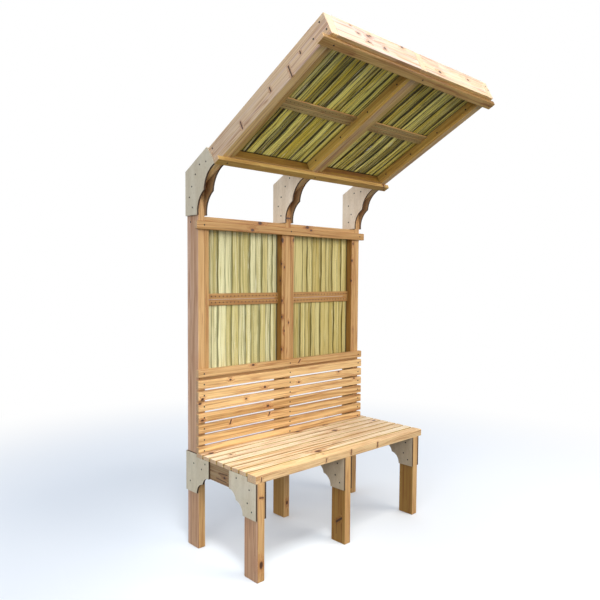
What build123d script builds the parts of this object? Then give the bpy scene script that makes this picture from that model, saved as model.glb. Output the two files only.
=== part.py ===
"""Timber bus shelter: three ribs, a slatted bench, and lath screens behind and overhead."""
import os

from build123d import *

os.makedirs("parts", exist_ok=True)

# Studwork of the ribs. X runs along the bench, Y from front to back, Z up.
# The origin is the middle of the middle post's foot.
TIMBER_WIDTH = 38.0
TIMBER_DEPTH = 89.0
RIB_PITCH = 537.0
RIB_NAMES = ["left", "middle", "right"]
HALF = 0.5

# Seat, measured from the posts' front faces to the legs' front faces.
SEAT_DEPTH = 436.0
SEAT_HEIGHT = 457.0
SEAT_SLATS = 7
SEAT_SLAT_THICK = 18.0
SEAT_SLAT_GAP = 9.0
SEAT_OVERHANG_LEFT = 9.0
SEAT_OVERHANG_RIGHT = 34.0
NOSING_WIDTH = 58.0
NOSING_HEIGHT = 35.0
BEARER_DEPTH = 82.0

# Backrest: a top rail and like slats below it, the lowest one cut to clear the seat.
BACKREST_RAIL_HEIGHT = 36.5
BACKREST_RAIL_GAP = 13.0
BACK_SLATS = 7
BACK_SLAT_HEIGHT = 41.4
BACK_SLAT_PITCH = 51.8
BACK_SLAT_THICK = 22.0
LOWEST_SLAT_HEIGHT = 28.5
BACK_SLAT_CLEAR = 2.2
BACKREST_OVERHANG_LEFT = 13.0
BACKREST_OVERHANG_RIGHT = 9.0

# Canopy. Its front lower edge is given ahead of the posts and above the ground.
CANOPY_SLOPE_DEG = 27.5
CANOPY_REACH = 835.0
CANOPY_FRONT_HEIGHT = 2132.0
CANOPY_SCREEN_CLEAR = 22.0
RAFTER_DEPTH = 94.0
FASCIA_WIDTH = 50.0

# Screens: stiles beside the timbers, two lapped layers of riven laths set back,
# and strips over their meeting ends.
BACK_SCREEN_LAP = 64.0
BACK_SCREEN_CLEAR = 5.0
STILE_WIDTH = 23.0
STILE_DEPTH = 50.0
STRIP_WIDTH = 28.0
STRIP_THICK = 8.0
STRIP_SEAM = 1.2
LATH_RECESS = 37.0
LATH_THICK = 5.0
LATH_LAYER_GAP = 0.8
LATH_LAP = 10.0
LATH_WAVE = 4.0

# Battens across the screens.
BATTEN_WIDTH = 38.0
BATTEN_THICK = 20.0
BACK_BATTEN_DROP = 21.0
BACK_BATTEN_OVERHANG_LEFT = 17.0
BACK_BATTEN_OVERHANG_RIGHT = 22.0
CANOPY_FRONT_BATTEN_SETBACK = 12.0
CANOPY_REAR_BATTEN_LAP = 30.0
CANOPY_FRONT_BATTEN_OVERHANG_LEFT = 36.0
CANOPY_REAR_BATTEN_OVERHANG_LEFT = 27.0
CANOPY_BATTEN_OVERHANG_RIGHT = 22.0

# Plywood plates, each cut with two scallops that meet in a point.
PLY = 9.0
SEAT_PLATE_REACH = 96.0
SEAT_PLATE_DROP = 91.0
SEAT_PLATE_CUSP_OUT = 48.0
SEAT_PLATE_CUSP_RISE = 54.0
SEAT_PLATE_SAG_SHARE = 0.2
SEAT_PLATE_TOP_CLEAR = 4.0
CANOPY_PLATE_REACH = 163.0
CANOPY_PLATE_RAKE = 20.0
CANOPY_PLATE_DROP = 140.0
CANOPY_PLATE_CUSP_OUT = 60.0
CANOPY_PLATE_CUSP_RISE = 107.0
CANOPY_PLATE_FOOT_OUT = 8.0
CANOPY_PLATE_PROUD = 3.0
CANOPY_PLATE_SAG_SHARE = 0.15
BOTH_FACES = [-1, 1]
REAR_PLATE_FACES = {"left": [-1], "middle": [-1], "right": [1]}

# Widths of each panel's laths, an odd number of them, and the run of their wavering edges.
LATH_WIDTH_SHARES = {
    "back_upper_left": [5, 8.5, 7.5, 7, 8, 11.5, 6.5, 7, 7, 5, 6],
    "back_upper_right": [14, 4, 5, 10, 5, 7, 6, 4, 7],
    "back_lower_left": [7, 6, 9, 5, 8, 7, 6, 10, 7, 5, 8],
    "back_lower_right": [5, 6.5, 5, 6.5, 5, 5, 10, 5.5, 6, 4, 5],
    "canopy_front_left": [8, 6, 9, 7, 6, 8, 10, 5, 7, 6, 8],
    "canopy_front_right": [7, 9, 6, 8, 7, 5, 11, 6, 8, 7, 6],
    "canopy_rear_left": [5, 6, 8, 7, 8, 6, 9, 5, 6, 7, 6],
    "canopy_rear_right": [8, 7, 6, 9, 6, 8, 7, 10, 6, 5, 8],
}
WAVE_SHARES = [0.1, 0.6, 0.4, 0.9, 0.8, 0.3, 0.6, 0.8, 0.2, 0.5, 0.9, 0.4, 0.0, 0.5]
WAVE_STEPS = 5

POST_FRONT = -TIMBER_DEPTH * HALF
POST_REAR = TIMBER_DEPTH * HALF
LEG_FRONT = POST_FRONT - SEAT_DEPTH
LEG_REAR = LEG_FRONT + TIMBER_DEPTH
SLAT_BOTTOM = SEAT_HEIGHT - SEAT_SLAT_THICK
NOSING_BOTTOM = SEAT_HEIGHT - NOSING_HEIGHT
NOSING_REAR = LEG_FRONT + NOSING_WIDTH
BEARER_BOTTOM = SLAT_BOTTOM - BEARER_DEPTH
LOWEST_SLAT_TOP = SEAT_HEIGHT + BACK_SLAT_CLEAR + LOWEST_SLAT_HEIGHT
BACKREST_RAIL_BOTTOM = LOWEST_SLAT_TOP + (BACK_SLATS - 1) * BACK_SLAT_PITCH + BACKREST_RAIL_GAP
BACKREST_TOP = BACKREST_RAIL_BOTTOM + BACKREST_RAIL_HEIGHT
OUTER_FACE = RIB_PITCH + TIMBER_WIDTH * HALF
RIB_CENTRES = [-RIB_PITCH, 0, RIB_PITCH]
BAY_CENTRES = {"left": -RIB_PITCH * HALF, "right": RIB_PITCH * HALF}
BAY_WIDTH = RIB_PITCH - TIMBER_WIDTH


def block(x0, x1, y0, y1, z0, z1):
    """A squared timber between two opposite corners."""
    middle = Pos((x0 + x1) * HALF, (y0 + y1) * HALF, (z0 + z1) * HALF)
    return middle * Box(x1 - x0, y1 - y0, z1 - z0)


def side_board(outline, x0, x1):
    """A board lying across X, cut to a closed run of lines and arcs given in Y and Z."""
    return Pos(x0, 0, 0) * extrude(Plane.YZ * make_face(outline), x1 - x0)


def rib_timber(corners, centre):
    """A timber in the plane of a rib, cut to the given corners in Y and Z."""
    outline = Polyline(*corners, close=True)
    return side_board(outline, centre - TIMBER_WIDTH * HALF, centre + TIMBER_WIDTH * HALF)


def canopy_place():
    """The canopy's own frame: X across, Y down the slope from the front end, Z out of its top."""
    return Pos(0, POST_FRONT - CANOPY_REACH, CANOPY_FRONT_HEIGHT) * Rot(-CANOPY_SLOPE_DEG, 0, 0)


def slope_point(along, out):
    """Y and Z of a point on the canopy, down the slope and out from the rafters' undersides."""
    point = (canopy_place() * Pos(0, along, out)).position
    return point.Y, point.Z


def along_slope(y):
    """Distance down the slope at which the rafters' undersides are above a place along Y."""
    end = slope_point(CANOPY_REACH, 0)
    start = slope_point(0, 0)
    return CANOPY_REACH * (y - start[0]) / (end[0] - start[0])


def rafter_height(y, out):
    """Height above a place along Y of a line that runs along the rafters, out from their undersides."""
    start = slope_point(0, out)
    end = slope_point(CANOPY_REACH, out)
    return start[1] + (end[1] - start[1]) * (y - start[0]) / (end[0] - start[0])


def hollow(start, end, sag_share):
    """A scallop: an arc between two points of an outline, hollowed to the left of its run."""
    run = Vector(end[0] - start[0], end[1] - start[1])
    side = Vector(-run.Y, run.X) * sag_share
    middle = (Vector(*start) + Vector(*end)) * HALF + side
    return ThreePointArc(start, (middle.X, middle.Y), end)


def save(name, shape):
    export_step(shape, "parts/" + name + ".step")


def save_group(name, shapes):
    save(name, Compound(children=list(shapes)))


def plates(outline, centre, faces):
    """Plates of one outline on the given faces of a rib, -1 its left one and 1 its right one."""
    made = []
    for face in faces:
        middle = centre + face * (TIMBER_WIDTH + PLY) * HALF
        made.append(side_board(outline, middle - PLY * HALF, middle + PLY * HALF))
    return made


def post(centre):
    """A rear post, its top cut to the canopy's slope."""
    return rib_timber([(POST_FRONT, 0), (POST_REAR, 0), (POST_REAR, rafter_height(POST_REAR, 0)),
                       (POST_FRONT, rafter_height(POST_FRONT, 0))], centre)


def rafter(centre):
    """A rafter resting on its post, square at the front end and plumb at the back."""
    return rib_timber([slope_point(0, 0), (POST_REAR, rafter_height(POST_REAR, 0)),
                       (POST_REAR, rafter_height(POST_REAR, RAFTER_DEPTH)),
                       slope_point(0, RAFTER_DEPTH)], centre)


def leg(centre):
    """A front leg, notched at the top for the nosing."""
    return rib_timber([(LEG_FRONT, 0), (LEG_REAR, 0), (LEG_REAR, SLAT_BOTTOM), (NOSING_REAR, SLAT_BOTTOM),
                       (NOSING_REAR, NOSING_BOTTOM), (LEG_FRONT, NOSING_BOTTOM)], centre)


def bearer(centre):
    """A seat bearer between the leg and the post."""
    return rib_timber([(LEG_REAR, BEARER_BOTTOM), (POST_FRONT, BEARER_BOTTOM), (POST_FRONT, SLAT_BOTTOM),
                       (LEG_REAR, SLAT_BOTTOM)], centre)


def canopy_plate_tip():
    """How far down the slope the canopy plates begin, at the rafters' undersides."""
    return along_slope(POST_FRONT) - CANOPY_PLATE_REACH


def canopy_plate_bottom():
    return rafter_height(POST_FRONT, 0) - CANOPY_PLATE_DROP


def canopy_plate_outline():
    """The plate that ties rafter to post, scalloped between the two. It stands a little
    above the rafter, and its foot a little ahead of the post."""
    crest = RAFTER_DEPTH + CANOPY_PLATE_PROUD
    tip = slope_point(canopy_plate_tip(), 0)
    top = slope_point(canopy_plate_tip() + CANOPY_PLATE_RAKE, crest)
    low = canopy_plate_bottom()
    cusp = (POST_FRONT - CANOPY_PLATE_CUSP_OUT, low + CANOPY_PLATE_CUSP_RISE)
    foot = (POST_FRONT - CANOPY_PLATE_FOOT_OUT, low)
    straight = Polyline(foot, (POST_REAR, low), (POST_REAR, rafter_height(POST_REAR, crest)), top, tip)
    return [straight, hollow(tip, cusp, CANOPY_PLATE_SAG_SHARE), hollow(cusp, foot, CANOPY_PLATE_SAG_SHARE)]


def seat_plate_outline(face, out, top_corners):
    """A plate that ties the bearer to an upright. The upright's inner face is at face,
    out is the way along the bearer from it, and top_corners run from its far face to the bearer."""
    low = BEARER_BOTTOM - SEAT_PLATE_DROP
    tip = (face + out * SEAT_PLATE_REACH, BEARER_BOTTOM)
    cusp = (face + out * SEAT_PLATE_CUSP_OUT, low + SEAT_PLATE_CUSP_RISE)
    foot = (face, low)
    far = (top_corners[0][0], low)
    straight = Polyline(foot, far, *top_corners, (tip[0], SLAT_BOTTOM), tip)
    sag_share = -out * SEAT_PLATE_SAG_SHARE
    return [straight, hollow(tip, cusp, sag_share), hollow(cusp, foot, sag_share)]


def rear_seat_plate_outline():
    """Beside the post it stands nearly as high as the seat, and ahead of it under the slats."""
    top = SEAT_HEIGHT - SEAT_PLATE_TOP_CLEAR
    corners = [(POST_REAR, top), (POST_FRONT, top), (POST_FRONT, SLAT_BOTTOM)]
    return seat_plate_outline(POST_FRONT, -1, corners)


def front_seat_plate_outline():
    """It is notched with the leg for the nosing."""
    return seat_plate_outline(LEG_REAR, 1, [(LEG_FRONT, NOSING_BOTTOM), (NOSING_REAR, NOSING_BOTTOM),
                                            (NOSING_REAR, SLAT_BOTTOM)])


def lath(left, right, top, bottom, recess, turn):
    """A riven lath from top to bottom. Left and right each give an edge and how far it wavers inward,
    and the wavering runs on by turn."""
    outline = []
    for side, (x, wave), order in [(1, left, 1), (-1, right, -1)]:
        for step in list(range(WAVE_STEPS + 1))[::order]:
            share = WAVE_SHARES[(turn + side * step) % len(WAVE_SHARES)]
            outline.append((x + side * wave * share, top + (bottom - top) * step / WAVE_STEPS))
    face = make_face(Polyline(*outline, close=True))
    return Pos(0, 0, recess) * extrude(face, LATH_THICK)


def laths(name, centre, start, end):
    """The laths of one panel. Every other one lies behind its neighbours and laps them,
    and the outer two are straight against the stiles."""
    shares = LATH_WIDTH_SHARES[name]
    clear = BAY_WIDTH - STILE_WIDTH - STILE_WIDTH
    edge = centre - clear * HALF
    made = []
    for turn, share in enumerate(shares):
        width = clear * share / sum(shares)
        behind = turn % 2
        lap = behind * LATH_LAP
        left_wave = LATH_WAVE if turn > 0 else 0
        right_wave = LATH_WAVE if turn < len(shares) - 1 else 0
        recess = LATH_RECESS + behind * (LATH_THICK + LATH_LAYER_GAP)
        left = (edge - lap, left_wave)
        right = (edge + width + lap, right_wave)
        made.append(lath(left, right, start, end, recess, turn))
        edge = edge + width
    return made


def screen(prefix, place, length, first, rail_depth, rail_names, panel_names):
    """A screen in both bays, laid out in its own frame: X across, Y from its first rail to its last,
    Z into it from its face. First is the first rail's width, and the last one is a rib timber."""
    last = length - TIMBER_WIDTH
    middle = (first + last) * HALF
    rails = {name: [] for name in rail_names}
    stiles = []
    strips = []
    for bay, centre in BAY_CENTRES.items():
        low = centre - BAY_WIDTH * HALF
        high = centre + BAY_WIDTH * HALF
        for name, (start, end) in zip(rail_names, [(0, first), (last, length)]):
            rails[name].append(place * block(low, high, start, end, 0, rail_depth))
        for edge in [low, high - STILE_WIDTH]:
            stiles.append(place * block(edge, edge + STILE_WIDTH, first, last, 0, STILE_DEPTH))
        for start in [middle - STRIP_SEAM * HALF - STRIP_WIDTH, middle + STRIP_SEAM * HALF]:
            strips.append(place * block(low + STILE_WIDTH, high - STILE_WIDTH, start, start + STRIP_WIDTH,
                                        LATH_RECESS - STRIP_THICK, LATH_RECESS))
        ends = [(first, middle - STRIP_SEAM * HALF), (middle + STRIP_SEAM * HALF, last)]
        for panel, (start, end) in zip(panel_names, ends):
            name = prefix + "_" + panel + "_" + bay
            save_group(name + "_laths", [place * piece for piece in laths(name, centre, start, end)])
    for name in rail_names:
        save_group(name, rails[name])
    save_group(prefix + "_stiles", stiles)
    save_group(prefix + "_lath_strips", strips)


def batten(place, start, overhang_left, overhang_right):
    """A batten laid across the faces of the ribs and their screen."""
    return place * block(-OUTER_FACE - overhang_left, OUTER_FACE + overhang_right,
                         start, start + BATTEN_WIDTH, -BATTEN_THICK, 0)


def back_slat(bottom, top):
    """A slat across the posts' front faces."""
    return block(-OUTER_FACE - BACKREST_OVERHANG_LEFT, OUTER_FACE + BACKREST_OVERHANG_RIGHT,
                 POST_FRONT - BACK_SLAT_THICK, POST_FRONT, bottom, top)


# The three ribs.
for rib, centre in zip(RIB_NAMES, RIB_CENTRES):
    save(rib + "_post", post(centre))
    save(rib + "_leg", leg(centre))
    save(rib + "_bearer", bearer(centre))
    save(rib + "_rafter", rafter(centre))
    save_group(rib + "_canopy_plates", plates(canopy_plate_outline(), centre, BOTH_FACES))
    save_group(rib + "_rear_seat_plates", plates(rear_seat_plate_outline(), centre, REAR_PLATE_FACES[rib]))
    save_group(rib + "_front_seat_plates", plates(front_seat_plate_outline(), centre, BOTH_FACES))

# The seat.
seat_left = -OUTER_FACE - SEAT_OVERHANG_LEFT
seat_right = OUTER_FACE + SEAT_OVERHANG_RIGHT
save("seat_nosing", block(seat_left, seat_right, LEG_FRONT, NOSING_REAR, NOSING_BOTTOM, SEAT_HEIGHT))
slat_pitch = (SEAT_DEPTH - NOSING_WIDTH) / SEAT_SLATS
seat_slats = []
for number in range(SEAT_SLATS):
    rear = POST_FRONT - number * slat_pitch
    front = rear - slat_pitch + SEAT_SLAT_GAP
    seat_slats.append(block(seat_left, seat_right, front, rear, SLAT_BOTTOM, SEAT_HEIGHT))
save_group("seat_slats", seat_slats)

# The backrest, from the lowest slat up to the rail.
back_slats = [back_slat(LOWEST_SLAT_TOP - LOWEST_SLAT_HEIGHT, LOWEST_SLAT_TOP)]
for number in range(1, BACK_SLATS):
    top = LOWEST_SLAT_TOP + number * BACK_SLAT_PITCH
    back_slats.append(back_slat(top - BACK_SLAT_HEIGHT, top))
save_group("back_slats", back_slats)
save("backrest_rail", back_slat(BACKREST_RAIL_BOTTOM, BACKREST_TOP))

# The back screen, from under the canopy plates to behind the backrest's rail.
back_top = canopy_plate_bottom() - BACK_SCREEN_CLEAR
back_place = Pos(0, POST_FRONT, back_top) * Rot(-90, 0, 0)
back_length = back_top - BACKREST_TOP + BACK_SCREEN_LAP
screen("back", back_place, back_length, TIMBER_WIDTH, TIMBER_DEPTH,
       ["back_head_rails", "back_sill_rails"], ["upper", "lower"])
save("back_batten", batten(back_place, BACK_BATTEN_DROP,
                           BACK_BATTEN_OVERHANG_LEFT, BACK_BATTEN_OVERHANG_RIGHT))

# The canopy's screen, from its front edge to the canopy plates.
canopy_length = canopy_plate_tip() - CANOPY_SCREEN_CLEAR
screen("canopy", canopy_place(), canopy_length, FASCIA_WIDTH, RAFTER_DEPTH,
       ["canopy_fascias", "canopy_rear_rails"], ["front", "rear"])
save("canopy_front_batten", batten(canopy_place(), CANOPY_FRONT_BATTEN_SETBACK,
                                   CANOPY_FRONT_BATTEN_OVERHANG_LEFT, CANOPY_BATTEN_OVERHANG_RIGHT))
save("canopy_rear_batten", batten(canopy_place(), canopy_length - CANOPY_REAR_BATTEN_LAP,
                                  CANOPY_REAR_BATTEN_OVERHANG_LEFT, CANOPY_BATTEN_OVERHANG_RIGHT))
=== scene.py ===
# %% [markdown]
# # A timber bus shelter, finished
# The shelter is plain studwork: three ribs, a slatted bench, and screens of riven laths.
# Its timbers come in as solids that are already the right size, so this lesson gives them eased
# edges and a wood finish each, and makes anew only what the solids leave plain: the laths, and
# the small heads of screws and pins.

# %% The frame
import math

import bpy
import numpy as np
from mathutils import Matrix


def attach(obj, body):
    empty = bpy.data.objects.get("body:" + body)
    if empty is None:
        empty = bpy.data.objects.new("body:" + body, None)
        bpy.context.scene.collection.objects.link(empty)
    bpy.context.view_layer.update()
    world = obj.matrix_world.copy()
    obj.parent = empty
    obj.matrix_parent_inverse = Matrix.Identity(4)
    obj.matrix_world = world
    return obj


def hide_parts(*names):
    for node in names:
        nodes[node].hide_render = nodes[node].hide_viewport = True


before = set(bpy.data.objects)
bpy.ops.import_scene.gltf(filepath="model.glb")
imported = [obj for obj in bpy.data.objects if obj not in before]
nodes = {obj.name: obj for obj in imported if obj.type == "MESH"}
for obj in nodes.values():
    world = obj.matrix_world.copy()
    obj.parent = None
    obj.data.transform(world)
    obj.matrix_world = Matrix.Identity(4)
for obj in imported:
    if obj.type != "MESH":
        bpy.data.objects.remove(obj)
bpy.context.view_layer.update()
RIBS = ("left", "middle", "right")

# %% [markdown]
# ## Where the camera stands
# The viewer stands a little to the left of the shelter and looks slightly down, so the bench shows
# its top and the canopy its underside. A camera is a place, a turn, a tilt and a lens. Building the
# three axes by hand keeps each of those numbers plain to read.

# %% Camera
CAMERA_PLACE = (-2.0917, -2.3605, 1.2803)
CAMERA_TURN, CAMERA_TILT, CAMERA_ROLL = 0.7550, -0.0540, 0.0070
LENS_PIXELS, PICTURE, LOWERED = 597.0, 600.0, 8.81
SENSOR = 36.0


def put(name, data):
    """A new thing in the scene, at the origin."""
    thing = bpy.data.objects.new(name, data)
    bpy.context.scene.collection.objects.link(thing)
    return thing


def standing(right, up, back, place):
    """The matrix of a thing at a place, its columns the ways that the thing calls right, up and back."""
    return Matrix([*zip(right, up, back, place), (0, 0, 0, 1)])


ahead = np.array([math.sin(CAMERA_TURN) * math.cos(CAMERA_TILT),
                  math.cos(CAMERA_TURN) * math.cos(CAMERA_TILT), math.sin(CAMERA_TILT)])
level = np.array([math.cos(CAMERA_TURN), -math.sin(CAMERA_TURN), 0.0])
upright = np.cross(level, ahead)
right = level * math.cos(CAMERA_ROLL) + upright * math.sin(CAMERA_ROLL)
up = np.cross(right, ahead)

camera = put("camera", bpy.data.cameras.new("camera"))
camera.data.sensor_width = SENSOR
camera.data.lens = LENS_PIXELS / PICTURE * SENSOR
camera.data.shift_y = LOWERED / PICTURE
camera.matrix_world = standing(right, up, -ahead, CAMERA_PLACE)
bpy.context.scene.camera = camera
bpy.context.scene.view_settings.view_transform = "Standard"
print("lens", round(camera.data.lens, 2), "mm")

# %% [markdown]
# ## Writing a finish as a sum
# A finish is a small calculation made at every point of a surface. Drawn as boxes and wires it soon
# gets hard to read, so here a wire is a Python value: adding or multiplying two wires adds the node
# that does it. One method, `make`, adds every other kind of node.

# %% Wires
class Wire:
    """One output of a node. Arithmetic on wires adds Math nodes to the same material."""

    def __init__(self, tree, socket=None):
        self.tree = tree
        self.socket = socket

    def make(self, kind, settings=None, sockets=None, out=0):
        """Adds a node: settings are set first, then each socket gets a number, a colour or a wire."""
        node = self.tree.nodes.new(kind)
        for name, value in (settings or {}).items():
            setattr(node, name, value)
        for name, value in (sockets or {}).items():
            if isinstance(value, Wire):
                self.tree.links.new(value.socket, node.inputs[name])
            else:
                node.inputs[name].default_value = value
        return Wire(self.tree, node.outputs[out])

    def math(self, operation, *terms):
        return self.make("ShaderNodeMath", {"operation": operation}, dict(enumerate(terms)))

    def __add__(self, other):
        return self.math("ADD", self, other)

    def __radd__(self, other):
        return self.math("ADD", other, self)

    def __sub__(self, other):
        return self.math("SUBTRACT", self, other)

    def __rsub__(self, other):
        return self.math("SUBTRACT", other, self)

    def __mul__(self, other):
        return self.math("MULTIPLY", self, other)

    def __rmul__(self, other):
        return self.math("MULTIPLY", other, self)

    def __truediv__(self, other):
        return self.math("DIVIDE", self, other)

    def __pow__(self, other):
        return self.math("POWER", self, other)

    def __abs__(self):
        return self.math("ABSOLUTE", self)

    def floor(self):
        return self.math("FLOOR", self)

    def part(self):
        """What is left above the whole number."""
        return self.math("FRACT", self)

    def least(self, other):
        return self.math("MINIMUM", self, other)

    def most(self, other):
        return self.math("MAXIMUM", self, other)

    def rise(self, low, high):
        """0 below low, 1 above high, and a smooth rise between. It falls where low is above high."""
        return self.make("ShaderNodeMapRange", {"interpolation_type": "SMOOTHSTEP"},
                         {"Value": self, "From Min": low, "From Max": high})

    def dot(self, axis):
        """How far this place lies along an axis."""
        return self.make("ShaderNodeVectorMath", {"operation": "DOT_PRODUCT"},
                         {0: self, 1: tuple(axis)}, "Value")

    def place(self, x, y, z):
        return self.make("ShaderNodeCombineXYZ", None, {0: x, 1: y, 2: z})

    def noise(self, x, y, z, detail=2.0, roughness=0.5):
        """Soft noise about 0.5, one swell to a unit of x, y and z."""
        return self.make("ShaderNodeTexNoise", None,
                         {"Vector": self.place(x, y, z), "Scale": 1.0, "Detail": detail,
                          "Roughness": roughness}, "Fac")

    def far_from(self, here, start, way=None):
        """How far a place is from a point, or from the straight stretch that goes a way from it."""
        if way is not None:
            offset = self.make("ShaderNodeVectorMath", {"operation": "SUBTRACT"}, {0: here, 1: tuple(start)})
            share = offset.dot(way / (way @ way)).most(0.0).least(1.0)
            start = self.make("ShaderNodeVectorMath", {"operation": "MULTIPLY_ADD"},
                              {0: share, 1: tuple(way), 2: tuple(start)})
        else:
            start = tuple(start)
        return self.make("ShaderNodeVectorMath", {"operation": "DISTANCE"}, {0: here, 1: start}, "Value")

    def chance(self, number):
        """Three numbers from 0 to 1 that stay the same for one number."""
        colour = self.make("ShaderNodeTexWhiteNoise", {"noise_dimensions": "1D"}, {"W": number}, "Color")
        return [self.make("ShaderNodeSeparateColor", None, {0: colour}, i) for i in range(3)]

    def blend(self, share, first, second, way="MIX"):
        """A colour that goes from the first to the second by a share."""
        return self.make("ShaderNodeMix", {"data_type": "RGBA", "blend_type": way},
                         {0: share, 6: first, 7: second}, 2)

    def times(self, colour, tint):
        """A colour multiplied by another."""
        return self.blend(1.0, colour, tint, "MULTIPLY")

    def spot(self):
        """The place of a point, in metres."""
        return self.make("ShaderNodeTexCoord", None, None, "Object")

    def normal(self):
        """The way a surface faces."""
        return self.make("ShaderNodeTexCoord", None, None, "Normal")

    def stored(self, name):
        """A number that a mesh keeps at every point."""
        return self.make("ShaderNodeAttribute", {"attribute_name": name}, None, "Fac")


def srgb(red, green, blue):
    """A colour as read off a picture, 0 to 255, as the linear light that a shader takes."""
    c = np.array([red, green, blue]) / 255
    linear = np.where(c <= 0.04045, c / 12.92, ((c + 0.055) / 1.055) ** 2.4)
    return (*linear.tolist(), 1.0)


def new_finish(name):
    """An empty material, its shader and a wire to write on."""
    material = bpy.data.materials.new(name)
    material.use_nodes = True
    tree = material.node_tree
    return material, tree.nodes["Principled BSDF"], Wire(tree)


def lay_on(shader, wire, colour, roughness, height, depth, strength):
    """Puts a colour, a roughness and a raised grain on a shader. Depth is in metres."""
    bump = wire.make("ShaderNodeBump", None, {"Strength": strength, "Distance": depth, "Height": height})
    for name, value in (("Base Color", colour), ("Roughness", roughness), ("Normal", bump)):
        wire.tree.links.new(value.socket, shader.inputs[name])


print("wires ready")

# %% [markdown]
# ## Measuring the solids
# Finishes, laths and screws all have to know where the timbers are. Typed in again, those places would
# drift from the timbers sooner or later, so they are read from the solids: how far a solid's points
# reach along an axis gives its faces. The canopy has axes of its own, down its slope and square out.

# %% Measures
X, Y, Z = np.eye(3)
SLOPE = math.radians(27.5)
DOWN = np.array([0.0, math.cos(SLOPE), -math.sin(SLOPE)])
OUT = np.array([0.0, math.sin(SLOPE), math.cos(SLOPE)])


def points_of(node):
    """All the points of a solid, in metres."""
    points = np.empty(len(nodes[node].data.vertices) * 3)
    nodes[node].data.vertices.foreach_get("co", points)
    return points.reshape(-1, 3)


def reach(node, axis):
    """How far each point of a solid lies along an axis."""
    return points_of(node) @ axis


def on_canopy(x, along, out):
    """A place given across, down the slope from the front edge and out from the rafters' undersides."""
    return EAVES + X * x + DOWN * along + OUT * out


def mm(rows):
    """Rows of millimetres as rows of metres."""
    return [tuple(value / 1000 for value in row) for row in rows]


EAVES = DOWN * reach("canopy_fascias", DOWN).min() + OUT * reach("canopy_fascias", OUT).min()
RIB_PITCH = reach("right_post", X).min() - reach("middle_post", X).min()
OUTSIDE = reach("right_post", X).max()
STILE_SIDE = np.unique(reach("back_stiles", X).round(5))[1] + RIB_PITCH
PAST_FACE, SHORT_OF_TOP = 0.004, 0.003
UNDER_LATHS = OUT, reach("canopy_front_left_laths", OUT).min() + PAST_FACE
BEFORE_LATHS = Y, reach("back_upper_left_laths", Y).min() + PAST_FACE
UNDER_TOP = OUT, reach("canopy_fascias", OUT).max() - SHORT_OF_TOP
print("ribs", round(RIB_PITCH, 3), "m apart, outer faces", round(2 * OUTSIDE, 3), "m apart")

# %% [markdown]
# ## Pine
# The timbers are planed pine, left bare. What tells pine from brown paint is that one board has an
# inside: rings round a pith that lies somewhere off its middle, redder heartwood near the pith, paler
# sapwood away from it, and round knots that go through from face to face and push the grain aside.
# A picture could be wrapped round each board, but then ends and edges would not agree. So the finish
# works from places inside the wood, and every face of a board is a cut through the same rings.
# The boards of one family share a finish: the place of a point says which board it belongs to, and
# that number moves the pith, the knots and the tone.

# %% Pine finish
RING = 0.0046
HEARTWOOD = 0.042, 0.030
KNOT_CELL, KNOT_STRETCH = 0.115, 0.6
KNOT_LEAST, KNOT_SPREAD = 0.0030, 0.0045
SEED_WEIGHT, BOARD_WEIGHTS = 7.31, (3.1, 5.7, 11.3)
GRAIN_DEPTH, GRAIN_STRENGTH = 0.0006, 0.35
ONE_BOARD = (-5.0, 10.0)
SQUARE_ON = 0.75, 0.87
# A mild painted shade for the shelter's right outer side, where an outer tint is given.
FAR_SIDE_SHADE = (0.95, 0.91, 0.80)
SAWN = (0.631, 0.402, 0.231), (0.352, 0.195, 0.098)
KNOT_HEART, KNOT_RIM = srgb(74, 40, 20), srgb(138, 86, 48)
LATEWOOD, BLOTCH, STRIPE = srgb(214, 176, 132), srgb(222, 192, 166), srgb(205, 164, 120)
BAND, SWIRL, THIN_LINE = srgb(208, 168, 128), srgb(212, 158, 112), srgb(186, 140, 106)


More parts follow.
